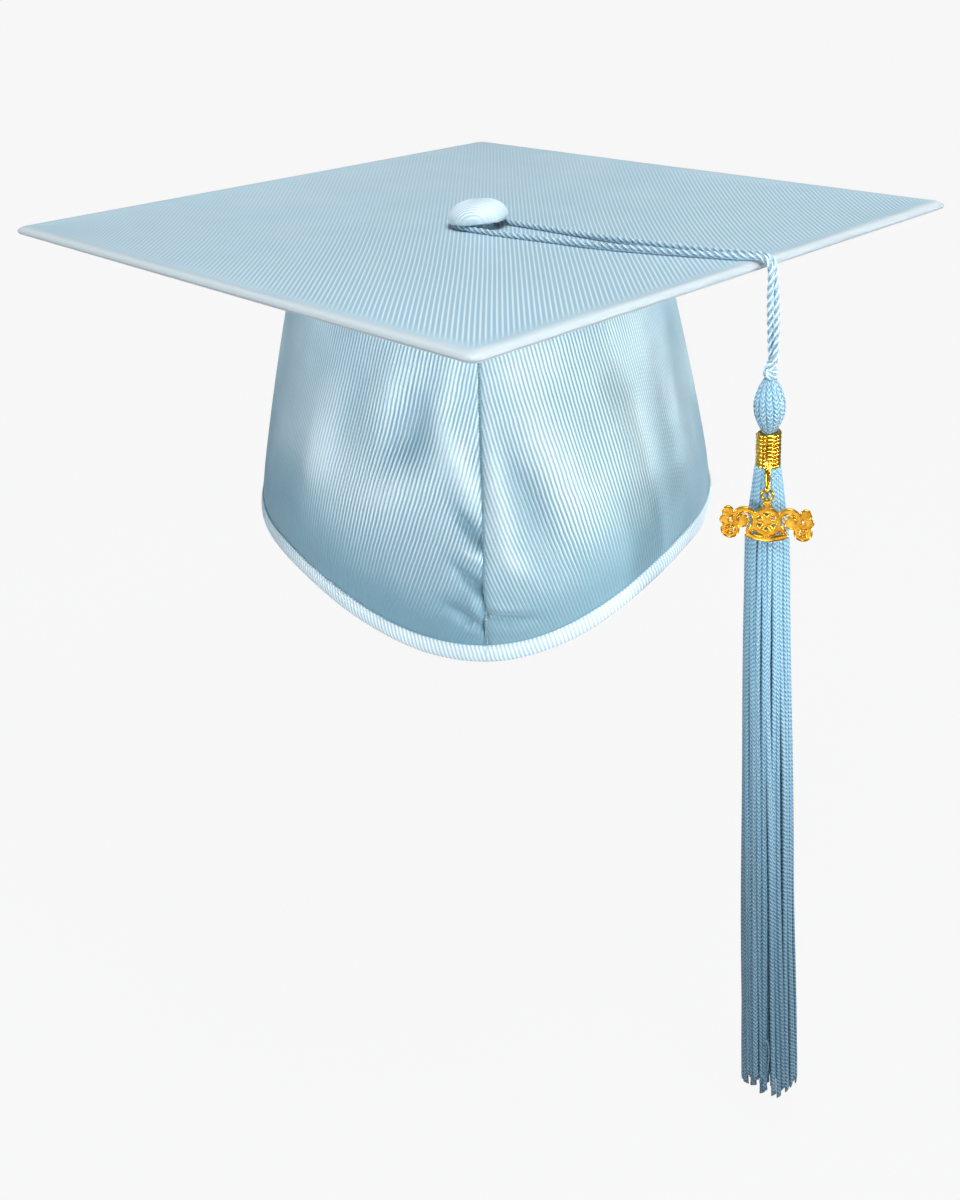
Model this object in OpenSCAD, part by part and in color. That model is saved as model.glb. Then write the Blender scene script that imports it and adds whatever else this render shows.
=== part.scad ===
// Graduation cap: a square board with a covered button, a soft skull cap
// under it, and a cord tassel that carries a gold charm.
// Frame: +Z up, the wearer looks along -Y, and one corner of the board points
// that way. The origin is the centre of the head opening, level with the hem
// at the wearer's ears. Sizes are in millimetres.

/* [Board] */
// Length of one side of the square board
board_side = 241.3; // [200:0.1:280]
// Thickness of the covered board at its edge
board_t = 3; // [2.6:0.1:5]
// Thickness of the cloth cover on each face
cover_t = 0.6; // [0.3:0.1:0.8]
// Radius of the board's corners
board_corner = 4; // [3:0.5:10]
// How far the middle of the board is drawn down below its straight edges
board_sag = 5; // [0:0.5:6]

/* [Skull cap] */
// Width of the cap at the hem, from ear to ear
hem_width = 168.6; // [150:0.1:180]
// Length of the cap over its width
head_ratio = 1.2; // [1.1:0.01:1.3]
// Width of the cap where it meets the board
crown_top_width = 132.6; // [110:0.1:140]
// Height of the board's top edge above the hem at the ears
crown_height = 106; // [90:1:130]
// How far the hem dips at the forehead
front_dip = 18.5; // [0:0.5:30]
// How far the hem dips at the nape
back_dip = 6; // [0:0.5:20]
// Thickness of one cloth panel with its stiffening
panel_t = 1.2; // [0.8:0.1:2]
// Height of the rolled hem binding
hem_h = 3.2; // [2.5:0.1:5]
// Height of the inner headband
sweatband_h = 22; // [15:1:35]

/* [Button] */
// Diameter of the covered button
button_d = 22.2; // [20:0.1:28]
// Height of its dome above the collar
button_dome = 6.3; // [4:0.1:9]
// Height of the collar that the cord goes round
collar_h = 2.8; // [2.6:0.1:4]

/* [Cord] */
// Diameter of the twisted cord
cord_d = 2.4; // [1.8:0.1:2.6]
// Diameter of the two strands twisted together
drop_d = 4.2; // [3.6:0.1:4.4]

/* [Tassel] */
// Diameter of the knot over the head
knot_d = 5.2; // [4.4:0.1:6]
// Diameter of the rounded head
head_d = 9.6; // [8.6:0.1:12]
// Diameter of the gold coil band
band_d = 7.8; // [7.6:0.1:9]
// Number of turns in the gold band
band_turns = 10; // [6:1:12]
// Diameter of the skirt at its lower end
skirt_d = 21; // [16:0.5:26]
// Length of the skirt below the band
skirt_len = 241; // [150:1:260]

/* [Charm] */
// Width of the openwork charm
charm_w = 28.8; // [26:0.1:32]
// Thickness of the charm
charm_t = 1.2; // [0.8:0.1:1.4]

/* [Hidden] */

$fn = 48;
cloth = "#A9C9DC";
cloth_light = "#BCD7E4";
cloth_edge = "#D3E3EA";
cord_colour = "#A3C3D8";
gold = "#D9A520";
card = "#B9A98A";

// Board
board_half = board_side / 2;
board_top = crown_height;
board_under = board_top - board_t;
hole_d = 3.4;
skin_gap = 0.15;

// Skull cap: half widths at the top and at the hem
top_a = crown_top_width / 2;
hem_a = hem_width / 2;
flange_t = 0.8;
seam_angle = 0.9;
lining_t = 0.5;
sweat_t = 0.8;
// Room between the panels and what is sewn inside them
lining_gap = 0.25;
band_gap = 0.55;

// Direction in which the cord leaves the button, and the hanging line's
// distance from the button
cord_azimuth = -43;
drop_r = 124.3 + (board_side - 241.3) / 2;
swing_z = board_under - 2;
strand_gap = cord_d / 2 + 0.05;
lift = 0.3;
// Heights on the tassel, down from the board's top edge
knot_z = board_top - 34.7;
head_top = board_top - 37.6;
head_low = board_top - 54.1;
band_low = board_top - 67.1;
eye_z = board_top - 71.5;
ring_z = board_top - 73.2;
charm_top = board_top - 75.5;
charm_mid = charm_top - 6.5;
// Direction that the charm faces, and its distance from the tassel's line
charm_azimuth = -101;
charm_out = 7.8;

// The cord's course away from the button, over the edge and down: distance
// from the button, distance of each strand from the middle line, and height
// of its centre over the edge of the board
cord_course = [[16, 8.2, -3.5], [30, 7.3, -3.2], [45, 6.3, -2.8], [60, 5.3, -2.2], [75, 4.3, -1.4],
    [90, 3.4, -0.6], [104, 2.5, 0.4], [112, 2, 1.1], [117, 1.6, 1.6], [120.5, 1.4, 1.7],
    [122.6, 1.3, 1], [123.8, 1.25, -0.6], [124.2, 1.25, -2.6]];

// ---------- shared functions ----------

// How far the board is drawn down at a point in plan
function sag_at(x, y) =
    let (u = (x + y) / sqrt(2) / board_half, v = (y - x) / sqrt(2) / board_half)
    board_sag * max(0, 1 - u * u) * max(0, 1 - v * v);

// Outline of a square with round corners, standing on one corner
function square_ring(half, corner) =
    let (r = min(corner, half * 0.6), c = half - r)
    [for (q = [0:3]) let (a0 = q * 90) each concat(
        [for (k = [0:4]) let (a = a0 + k * 22.5, cx = q == 0 || q == 3 ? c : -c, cy = q < 2 ? c : -c)
            spin2([cx + r * cos(a), cy + r * sin(a)], 45)],
        [for (k = [1:7]) let (t = c - 2 * c * k / 8, p = [t, half])
            spin2(p, 45 + a0)])];

function spin2(p, a) = [p[0] * cos(a) - p[1] * sin(a), p[0] * sin(a) + p[1] * cos(a)];

// A square ring of the board, laid on its drawn-down surface
function board_ring(half, corner, z) =
    [for (p = square_ring(half, corner)) [p[0], p[1], z - sag_at(p[0], p[1])]];

// The rivet hole's edge, with a point for each point of a square ring
function hole_ring(z) = [for (p = square_ring(10, 4)) let (a = atan2(p[1], p[0]))
    [hole_d / 2 * cos(a), hole_d / 2 * sin(a), z - board_sag]];

// Height of the hem at an angle measured from the forehead
function hem_z(a) =
    let (f = a > 180 ? 360 - a : a, b = 180 - f)
    (f < 60 ? -front_dip * (1 + cos(3 * f)) / 2 : 0) + (b < 60 ? -back_dip * (1 + cos(3 * b)) / 2 : 0);

// Half width of the skull cap, from its top (s = 0) to its hem (s = 1)
function crown_half(s) = top_a + (hem_a - top_a + 2.6) * s - 2.6 * pow(s, 10);

function crown_top_z(a) =
    board_under - sag_at(top_a * sin(a), -top_a * head_ratio * cos(a)) - flange_t - 0.15;

// A point on the skull cap, set in by a distance from its outer face
function crown_point(a, s, inset) =
    let (h = crown_half(s), t = crown_top_z(a))
    [(h - inset) * sin(a), -(h * head_ratio - inset) * cos(a), t + (hem_z(a) - t) * s];

// The part s of the way down at which the cap is at a height over its hem
function s_at(a, over) = 1 - over / (crown_top_z(a) - hem_z(a));

// Cross-section of a cloth layer at one angle: up its outer face, down its inner face
function layer_ring(a, low, high, inset, thick, rows) =
    let (s0 = s_at(a, low), s1 = high < 0 ? 0 : s_at(a, high))
    concat([for (k = [0:rows - 1]) crown_point(a, s0 + (s1 - s0) * k / (rows - 1), inset)],
        [for (k = [rows - 1:-1:0]) crown_point(a, s0 + (s1 - s0) * k / (rows - 1), inset + thick)]);

// One closed solid through a row of rings that all have the same even count of points
module skin(rings, loop = false) {
    m = len(rings[0]);
    n = len(rings);
    pts = [for (r = rings) for (p = r) p];
    last = loop ? n - 1 : n - 2;
    sides = [for (i = [0:last]) for (k = [0:m - 1])
        let (j = (i + 1) % n, l = (k + 1) % m)
        each [[i * m + k, i * m + l, j * m + l], [i * m + k, j * m + l, j * m + k]]];
    caps = loop ? [] : [for (k = [0:m / 2 - 2])
        let (e = (n - 1) * m, c = m - 2 - k, d = m - 1 - k)
        each [[c, k + 1, k], [d, c, k], [e + k, e + k + 1, e + c], [e + k, e + c, e + d]]];
    faces = concat(sides, caps);
    volume = [for (f = faces) pts[f[0]] * cross(pts[f[1]], pts[f[2]])] * [for (f = faces) 1];
    outward = volume > 0 ? [for (f = faces) [f[0], f[2], f[1]]] : faces;
    polyhedron(points = pts, faces = outward, convexity = 6);
}

// Rings of a tube of diameter d along a path, with a given number of sides
function unit(v) = v / norm(v);
function tube_rings(path, d, sides) =
    [for (i = [0:len(path) - 1])
        let (a = path[max(i - 1, 0)], b = path[min(i + 1, len(path) - 1)], t = unit(b - a),
            u = unit(cross(t, abs(t[2]) > 0.999 ? [1, 0, 0] : [0, 0, 1])),
            v = cross(u, t), w = d / 2 / sqrt((1 + cos(180 / sides)) / 2))
        [for (k = [0:sides - 1]) path[i] + u * w * cos(k * 360 / sides + 180 / sides)
            + v * w * sin(k * 360 / sides + 180 / sides)]];

module at_tassel() {
    rotate([0, 0, cord_azimuth]) translate([drop_r, 0, 0]) rotate([0, 0, charm_azimuth + 90 - cord_azimuth])
        children();
}

// ---------- board ----------

rows_out = [0.06, 0.25, 0.45, 0.65, 0.82, 0.94];

module board_core() {
    t = board_t - 2 * cover_t - 2 * skin_gap;
    mid = (board_top + board_under) / 2;
    half = board_half - cover_t - skin_gap;
    corner = board_corner - cover_t;
    color(card) skin(concat(
        [hole_ring(mid + t / 2)],
        [for (k = rows_out) board_ring(half * k, corner, mid + t / 2)],
        [for (a = [90:-30:-90]) board_ring(half - t / 2 + t / 2 * cos(a), corner - t / 2 + t / 2 * cos(a),
            mid + t / 2 * sin(a))],
        [for (k = [len(rows_out) - 1:-1:0]) board_ring(half * rows_out[k], corner, mid - t / 2)],
        [hole_ring(mid - t / 2)]), loop = true);
}

// Cloth on one face of the board, turned over half of the edge: way is 1 above and -1 below
module cloth_cover(way) {
    mid = (board_top + board_under) / 2;
    r = board_t / 2;
    ri = r - cover_t;
    seam = 0.02 * way;
    skin(concat(
        [hole_ring(mid + way * r)],
        [for (k = rows_out) board_ring(board_half * k, board_corner, mid + way * r)],
        [for (a = [90:-30:0]) board_ring(board_half - r + r * cos(a), board_corner - r + r * cos(a),
            mid + seam + way * r * sin(a))],
        [for (a = [0:30:90]) board_ring(board_half - r + ri * cos(a), board_corner - r + ri * cos(a),
            mid + seam + way * ri * sin(a))],
        [for (k = [len(rows_out) - 1:-1:0]) board_ring(board_half * rows_out[k], board_corner - cover_t,
            mid + way * ri)],
        [hole_ring(mid + way * ri)]), loop = true);
}

module board_cover_top() {
    color(cloth) cloth_cover(1);
}

module board_cover_bottom() {
    color(cloth_edge) cloth_cover(-1);
}

// ---------- button ----------

centre_z = board_top - board_sag;
button_z = centre_z + collar_h + 0.05;

// Profile of a dome: radius r, height h, from its top to its rim
function dome(r, h) = [for (a = [90:-7.5:0]) [r * pow(cos(a), 0.9), h * pow(sin(a), 0.95)]];

module button_cover() {
    r = button_d / 2;
    color(cloth_light) translate([0, 0, button_z]) rotate_extrude($fn = 72)
        polygon(concat([[0, button_dome]], [for (p = dome(r, button_dome - 0.6)) [p[0], p[1] + 0.6]],
            [[r - 0.3, 0.15], [r - 0.8, 0], [r - 2.4, 0], [r - 2.4, 0.5], [r - 0.65, 0.5]],
            [for (k = [len(dome(1, 1)) - 1:-1:0]) let (p = dome(r - 0.65, button_dome - 1.25)[k])
                [p[0], p[1] + 0.6]],
            [[0, button_dome - 0.65]]));
}

module button_shell() {
    r = button_d / 2 - 0.7;
    color("silver") translate([0, 0, button_z + 0.55]) rotate_extrude($fn = 72)
        polygon(concat([[0, button_dome - 1.3]], dome(r, button_dome - 1.3),
            [[r - 0.5, 0]], [for (k = [len(dome(1, 1)) - 1:-1:0]) dome(r - 0.5, button_dome - 1.8)[k]],
            [[0, button_dome - 1.8]]));
}

module button_back_plate() {
    color("silver") translate([0, 0, button_z + 0.55]) difference() {
        cylinder(r = button_d / 2 - 1.9, h = 0.6, $fn = 72);
        translate([0, 0, -1]) cylinder(d = 3.1, h = 3);
    }
}

module button_collar() {
    color(cloth_light) translate([0, 0, centre_z + 0.05]) difference() {
        cylinder(r = 6.6, h = collar_h + 0.5, $fn = 64);
        translate([0, 0, -1]) cylinder(d = hole_d, h = collar_h + 3);
    }
}

module button_rivet() {
    top = button_z + 1.2;
    low = board_under - board_sag - 2;
    color("silver") union() {
        translate([0, 0, low]) cylinder(d = 3, h = top - low + 0.6);
        translate([0, 0, top]) cylinder(d = 7, h = 0.7);
        translate([0, 0, low - 0.7]) cylinder(d = 5, h = 0.7);
    }
}

module button_washer() {
    z = board_under - board_sag - flange_t - 0.2;
    color("silver") translate([0, 0, z - 0.9]) difference() {
        cylinder(d = 18, h = 0.85);
        translate([0, 0, -1]) cylinder(d = 3.2, h = 3);
    }
}

// ---------- skull cap ----------

panel_steps = 30;
function step_angle(k, steps) = seam_angle + (180 - 2 * seam_angle) * k / steps;

module crown_panel() {
    skin([for (k = [0:panel_steps])
        layer_ring(step_angle(k, panel_steps), hem_h + 0.05, -1, 0, panel_t, 12)]);
}

module crown_panel_right() {
    color(cloth_light) crown_panel();
}

module crown_panel_left() {
    color(cloth) mirror([1, 0, 0]) crown_panel();
}

// Sewn seam between the two panels, standing out as a low ridge
module seam(a) {
    out = a == 0 ? -1 : 1;
    rows = 12;
    rings = [for (k = [0:rows])
        let (s = s_at(a, hem_h + 0.05) * k / rows, p = crown_point(a, s, 0),
            w = crown_half(s) * sin(seam_angle) - 0.15)
        [[w, p[1], p[2]], [w * 0.5, p[1] + out * 0.6, p[2]], [-w * 0.5, p[1] + out * 0.6, p[2]],
            [-w, p[1], p[2]], [-w, p[1] - out * panel_t, p[2]], [w, p[1] - out * panel_t, p[2]]]];
    skin(rings);
}

module front_seam() {
    color(cloth_light) seam(0);
}

module back_seam() {
    color(cloth) seam(180);
}

// Turned-in top edge of the panels, sewn to the board's lower cover
module crown_flange() {
    color(cloth) skin([for (k = [0:59]) let (a = k * 6,
            x0 = top_a * sin(a), y0 = -top_a * head_ratio * cos(a),
            x1 = (top_a - 7) * sin(a), y1 = -(top_a * head_ratio - 7) * cos(a),
            z0 = board_under - 0.05 - sag_at(x0, y0), z1 = board_under - 0.05 - sag_at(x1, y1))
        [[x0, y0, z0], [x1, y1, z1], [x1, y1, z1 - flange_t], [x0, y0, z0 - flange_t]]], loop = true);
}

// Cloth disc that closes the top of the cap inside
module crown_tip() {
    rows = [0.12, 0.35, 0.6, 0.85, 1];
    function tip_ring(k, drop) = [for (i = [0:47]) let (a = i * 7.5, x = (top_a - 7.2) * k * sin(a),
            y = -(top_a * head_ratio - 7.2) * k * cos(a)) [x, y, board_under - drop - sag_at(x, y)]];
    function tip_hole(drop) = [for (i = [0:47]) let (a = i * 7.5)
        [hole_d / 2 * sin(a), -hole_d / 2 * cos(a), board_under - drop - board_sag]];
    color(cloth) skin(concat([tip_hole(0.05)], [for (k = rows) tip_ring(k, 0.05)],
        [for (k = [len(rows) - 1:-1:0]) tip_ring(rows[k], 0.05 + flange_t)], [tip_hole(0.05 + flange_t)]),
        loop = true);
}

module lining() {
    skin([for (k = [0:20])
        layer_ring(step_angle(k, 20), hem_h + sweatband_h + 1, -1, panel_t + lining_gap, lining_t, 5)]);
}

module lining_right() {
    color(cloth_edge) lining();
}

module lining_left() {
    color(cloth_edge) mirror([1, 0, 0]) lining();
}

module sweatband() {
    color(cloth_edge) skin([for (k = [0:71])
        layer_ring(k * 5, hem_h + 0.05, hem_h + sweatband_h, panel_t + band_gap, sweat_t, 5)], loop = true);
}

// Elastic across the nape, inside the headband
module elastic_band() {
    color("white") skin([for (k = [0:20])
        layer_ring(125 + k * 5.5, hem_h + 2, hem_h + 12, panel_t + band_gap + sweat_t + 0.2, 0.9, 3)]);
}

// Rolled binding along the hem
module hem_binding() {
    color(cloth_edge) skin([for (k = [0:71]) let (a = k * 5, z = hem_z(a) + hem_h / 2, h = hem_a - 0.9,
            b = hem_a * head_ratio - 0.9)
        [for (j = [0:7]) let (c = 22.5 + j * 45)
            [(h + 1.8 * cos(c)) * sin(a), -(b + 1.8 * cos(c)) * cos(a), z + hem_h / 2 / cos(22.5) * sin(c)]]],
        loop = true);
}

// ---------- cord ----------

// One strand from its end over the edge in to the collar, on the given side
function strand(side) = [for (k = [len(cord_course) - 1:-1:0])
    [cord_course[k][0] + drop_r - 124.3, side * max(strand_gap, cord_course[k][1]),
    cord_course[k][2] + board_top]];

// The loop round the collar, from one strand to the other
function loop_arc() = [for (a = [80:20:280])
    [9 * cos(a), 9 * sin(a), centre_z + lift + cord_d / 2]];

module cord_loop() {
    path = concat(strand(1), loop_arc(), [for (k = [len(cord_course) - 1:-1:0]) strand(-1)[k]]);
    color(cord_colour) rotate([0, 0, cord_azimuth]) skin(tube_rings(path, cord_d, 8));
}

module cord_drop() {
    top = swing_z;
    low = knot_z + knot_d / 2 + 0.3;
    path = [for (z = [top:-8:low + 4]) [0, 0, z]];
    color(cord_colour) rotate([0, 0, cord_azimuth]) translate([drop_r, 0, 0]) union() {
        skin(tube_rings(concat(path, [[0, 0, low]]), drop_d, 12));
        translate([0, 0, top]) sphere(d = drop_d, $fn = 32);
    }
}

// ---------- tassel ----------

module tassel_knot() {
    color(cord_colour) at_tassel() translate([0, 0, knot_z]) sphere(d = knot_d);
}

module tassel_head() {
    r = head_d / 2;
    h = head_top - head_low;
    color(cord_colour) at_tassel() rotate_extrude()
        polygon(concat([[0, head_top]],
            [for (a = [80:-10:-60]) [r * cos(a), head_low + h * (0.5 + 0.5 * sin(a))]],
            [[3.35, head_low + 0.1], [3.35, band_low + 0.05], [0, band_low + 0.05]]));
}

// Gold wire wound round the neck
module tassel_band() {
    pitch = (head_low - band_low) / band_turns;
    color(gold) at_tassel() rotate_extrude()
        polygon(concat([[3.4, band_low + 0.1]],
            [for (k = [0:band_turns - 1]) for (a = [-90:30:90])
                [band_d / 2 - 0.3 + 0.3 * cos(a),
                    band_low + 0.1 + (k + 0.5) * pitch + pitch * 0.48 * sin(a)]],
            [[3.4, head_low]]));
}

// Gold strip down from the band to an eye that the ring hangs in
module charm_hanger() {
    color(gold) at_tassel() difference() {
        union() {
            translate([0, 0, eye_z]) hull() {
                translate([-0.6, -charm_out + 0.1, 1.1]) cube([1.2, 0.5, 0.4]);
                translate([-0.6, -4.5, band_low - eye_z + 0.6]) cube([1.2, 0.5, 0.4]);
            }
            translate([-0.6, -4.5, band_low + 0.6]) cube([1.2, 0.55, 2.4]);
            translate([-0.6, -charm_out, eye_z]) rotate([0, 90, 0]) cylinder(r = 1.35, h = 1.2);
        }
        translate([-1, -charm_out, eye_z]) rotate([0, 90, 0]) cylinder(r = 0.85, h = 2);
    }
}

// Radius of the skirt at a distance below the band
function skirt_r(d) = 4.4 + 2.5 * min(1, d / 26) + (skirt_d / 2 - 6.9) * pow(d / skirt_len, 0.75);

module tassel_skirt() {
    depths = [0, 3, 7, 12, 18, 26, 40, 60, 90, 130, 180, skirt_len];
    color(cord_colour) at_tassel() rotate_extrude()
        polygon(concat([[0, band_low - 0.05], [3.6, band_low - 0.05]],
            [for (d = depths) if (d > 0) [skirt_r(d) - (d < 5 ? 0.5 : 0), band_low - d]],
            [[0, band_low - skirt_len]]));
}

// ---------- charm ----------

module charm_ring() {
    color(gold) at_tassel() translate([0, -charm_out, ring_z]) rotate([90, 0, 0]) rotate_extrude()
        translate([1.7, 0]) circle(d = 1, $fn = 24);
}

// Spiral band from radius r0 to r1 over an angle range
function scroll(r0, r1, a0, a1, w, steps) = concat(
    [for (k = [0:steps]) let (t = k / steps, a = a0 + (a1 - a0) * t, r = r0 + (r1 - r0) * t + w / 2)
        [r * cos(a), r * sin(a)]],
    [for (k = [steps:-1:0]) let (t = k / steps, a = a0 + (a1 - a0) * t, r = r0 + (r1 - r0) * t - w / 2)
        [r * cos(a), r * sin(a)]]);

// A scroll, a ring and two beads on one side of the rosette
module charm_wing() {
    k = charm_w / 28.8;
    translate([7.4 * k, 0.6]) polygon(scroll(1.2, 4.4, -170, 250, 1.5, 30));
    translate([7.4 * k, 0.6]) circle(r = 1.5, $fn = 24);
    translate([11.3 * k, -3.1]) difference() {
        circle(r = 2.7);
        circle(r = 1.5);
    }
    translate([11.3 * k, -3.5]) square([1.9, 0.8]);
    translate([11.3 * k, -3.1]) circle(r = 0.75, $fn = 20);
    translate([12 * k, 2.8]) circle(r = 1.7, $fn = 24);
    translate([charm_w / 2 - 1.3, 0.2]) circle(r = 1.3, $fn = 20);
}

module charm() {
    color(gold) at_tassel() translate([0, -charm_out + charm_t / 2, charm_mid]) rotate([90, 0, 0])
        linear_extrude(charm_t) union() {
            difference() {
                circle(r = 4.6);
                circle(r = 3.2);
            }
            circle(r = 1.4, $fn = 24);
            for (a = [0:60:300]) rotate(a) translate([1, -0.5]) square([2.6, 1]);
            translate([-1, 4.2]) square([2, 2.25]);
            translate([0, 8]) polygon(scroll(13.9, 13.9, 243, 297, 1.2, 16));
            translate([-0.8, -5.8]) square([1.6, 1.6]);
            charm_wing();
            mirror([1, 0]) charm_wing();
        }
}

board_core();
board_cover_top();
board_cover_bottom();
button_shell();
button_cover();
button_back_plate();
button_collar();
button_rivet();
button_washer();
crown_panel_left();
crown_panel_right();
front_seam();
back_seam();
crown_flange();
crown_tip();
lining_left();
lining_right();
sweatband();
elastic_band();
hem_binding();
cord_loop();
cord_drop();
tassel_knot();
tassel_head();
tassel_band();
charm_hanger();
tassel_skirt();
charm_ring();
charm();
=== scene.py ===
"""Looks of the graduation cap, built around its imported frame. All lengths are in metres.

+Z is up, the wearer looks along -Y, and the origin is the centre of the head opening.
Angles round the skull cap start at the forehead and turn towards +X."""
import math

import bpy
import numpy as np
from mathutils import Matrix, Vector


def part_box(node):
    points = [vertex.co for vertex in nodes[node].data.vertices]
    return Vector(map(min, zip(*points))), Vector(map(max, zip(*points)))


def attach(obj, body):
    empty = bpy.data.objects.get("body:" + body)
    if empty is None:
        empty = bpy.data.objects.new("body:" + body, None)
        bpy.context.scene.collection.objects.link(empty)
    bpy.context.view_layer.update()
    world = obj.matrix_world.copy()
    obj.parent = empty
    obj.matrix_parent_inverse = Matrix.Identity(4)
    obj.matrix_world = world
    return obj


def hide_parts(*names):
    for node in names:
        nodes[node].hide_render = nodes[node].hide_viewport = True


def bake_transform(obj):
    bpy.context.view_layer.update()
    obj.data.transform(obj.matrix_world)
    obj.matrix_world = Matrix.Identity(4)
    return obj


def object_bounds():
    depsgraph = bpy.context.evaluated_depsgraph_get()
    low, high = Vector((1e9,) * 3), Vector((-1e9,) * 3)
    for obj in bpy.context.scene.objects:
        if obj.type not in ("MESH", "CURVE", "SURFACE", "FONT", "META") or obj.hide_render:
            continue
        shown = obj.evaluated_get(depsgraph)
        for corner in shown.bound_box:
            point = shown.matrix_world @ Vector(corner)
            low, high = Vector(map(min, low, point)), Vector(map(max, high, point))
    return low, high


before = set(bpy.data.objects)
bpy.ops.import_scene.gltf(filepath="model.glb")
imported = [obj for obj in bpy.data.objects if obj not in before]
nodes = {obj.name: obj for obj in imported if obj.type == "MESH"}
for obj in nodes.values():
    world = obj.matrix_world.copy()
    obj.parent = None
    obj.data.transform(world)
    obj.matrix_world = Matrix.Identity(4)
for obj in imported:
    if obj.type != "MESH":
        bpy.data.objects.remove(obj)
cad_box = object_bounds()
TAU = 2 * math.pi
MM = 0.001
MICRON = 1e-6

# ---------- sizes shared with the frame ----------

BOARD_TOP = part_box("board_cover_top")[1].z
BOARD_HALF = 0.12065
BOARD_CORNER = 0.004
BOARD_T = 0.003
BOARD_SAG = 0.005
BOARD_UNDER = BOARD_TOP - BOARD_T
CENTRE_Z = BOARD_TOP - BOARD_SAG

CROWN_TOP = 0.0663
HEM_HALF = 0.0843
CROWN_TUCK = 0.0026
HEAD_RATIO = 1.2
FRONT_DIP = 0.0185
BACK_DIP = 0.006
HEM_H = 0.0032
ROLL_H = 0.0058
PANEL_T = 0.0012
BELLY = 0.0045

CORD_AZIMUTH = math.radians(-43)
CORD_D = 0.0021
STRAND_GAP = 0.00107
LOOP_R = 0.009
LOOP_Z = 0.1025
DROP_R = 0.1243
DROP_STEP = 0.0019
DROP_ASIDE = 0.0007
SWING_Z = 0.101
# Distance from the button, distance of each strand from the middle line, and
# height of its centre over the board's edge
CORD_COURSE = [(0.016, 0.0082, -0.0036), (0.03, 0.0073, -0.0033), (0.045, 0.0063, -0.0029),
               (0.06, 0.0053, -0.0023), (0.075, 0.0043, -0.0015), (0.09, 0.0034, -0.0007),
               (0.104, 0.0025, 0.0003), (0.112, 0.002, 0.001), (0.117, 0.0015, 0.0015),
               (0.1205, 0.0012, 0.0016), (0.1226, 0.0011, 0.0009), (0.1238, 0.00107, -0.0006),
               (0.1242, 0.00107, -0.0026)]

KNOT_Z = 0.0713
HEAD_TOP = 0.0684
HEAD_LOW = 0.0519
BAND_LOW = 0.0389
BAND_TURNS = 9
NECK_R = 0.0033
KNIT_PITCH = 1.35
CHARM_TURN = math.radians(-11)
SKIRT_LEN = 0.241
STRAND_LEN = 0.235
SKIRT_LEAN = 0.0066
# Each ring of strands, from the outside in: its share of the skirt's radius, its strands, and their sides
SKIRT_RINGS = [(0.93, 30, 10), (0.74, 24, 8), (0.52, 16, 6), (0.27, 8, 6)]

random = np.random.default_rng(11)


# ---------- mesh helpers ----------

def together(*parts):
    """Arrays and numbers spread to one shape and stacked along a last axis."""
    return np.stack(np.broadcast_arrays(*parts), -1)


def turn_of(count):
    """Evenly spaced angles of one full turn."""
    return np.arange(count) / count * TAU


def grid_faces(rows, columns, wrap_rows=False, wrap_columns=False):
    """Quads of a grid of points that is stored row by row."""
    i = np.arange(rows if wrap_rows else rows - 1)
    j = np.arange(columns if wrap_columns else columns - 1)
    i, j = (x.ravel() for x in np.meshgrid(i, j, indexing="ij"))
    a = i * columns + j
    b = i * columns + (j + 1) % columns
    c = (i + 1) % rows * columns + (j + 1) % columns
    d = (i + 1) % rows * columns + j
    return np.stack([a, b, c, d], 1).tolist()


def tube_faces(rings, sides, ends=True):
    """Faces of a tube that is stored ring by ring, with its two ends closed."""
    faces = grid_faces(rings, sides, wrap_columns=True)
    if ends:
        faces.append(list(range(sides))[::-1])
        faces.append([(rings - 1) * sides + k for k in range(sides)])
    return faces


def flipped(faces):
    return [face[::-1] for face in faces]


class Shape:
    """Points, faces and a cloth coordinate for each point, gathered before they become one mesh."""

    def __init__(self):
        self.points, self.faces, self.coords, self.count = [], [], [], 0

    def add(self, points, faces, coords):
        """Takes in a surface whose faces count its own points from 0."""
        self.points.append(points.reshape(-1, 3))
        self.coords.append(np.broadcast_to(coords, points.shape).reshape(-1, 3))
        self.faces += [[k + self.count for k in face] for face in faces]
        self.count += len(self.points[-1])
        return self

    def add_tube(self, path, sections, coords, ends=True):
        """A tube with one cross-section for each point of its path."""
        across, along = cross_frames(path)
        points = path[:, None] + across[:, None] * sections[..., :1] + along[:, None] * sections[..., 1:]
        return self.add(points, tube_faces(len(path), sections.shape[1], ends), coords)

    def build(self, name, material, body=None, replaced=(), slot=None):
        mesh = bpy.data.meshes.new(name)
        points = np.concatenate(self.points)
        mesh.from_pydata(points.tolist(), [], self.faces)
        mesh.polygons.foreach_set("use_smooth", np.ones(len(mesh.polygons), bool))
        layer = mesh.attributes.new("weave", "FLOAT_VECTOR", "POINT")
        layer.data.foreach_set("vector", np.concatenate(self.coords).astype(np.float32).ravel())
        mesh.materials.append(material)
        piece = bpy.data.objects.new(name, mesh)
        bpy.context.scene.collection.objects.link(piece)
        return finish_piece(piece, body, replaced)


def finish_piece(piece, body, replaced):
    """Says what a piece rides on and which CAD nodes it stands for."""
    if body:
        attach(piece, body)
    if replaced:
        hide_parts(*replaced)
    return piece


def unit(v):
    return v / np.linalg.norm(v, axis=-1, keepdims=True)


def cross_frames(path):
    """Two unit vectors across a path at each of its points, carried along without twist."""
    tangents = unit(np.gradient(path, axis=0))
    first = np.cross(tangents[0], (0.0, 0.0, 1.0) if abs(tangents[0][2]) < 0.9 else (1.0, 0.0, 0.0))
    across = [first / np.linalg.norm(first)]
    for t in tangents[1:]:
        u = across[-1] - t * np.dot(across[-1], t)
        across.append(u / np.linalg.norm(u))
    across = np.array(across)
    return across, np.cross(tangents, across)


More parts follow.
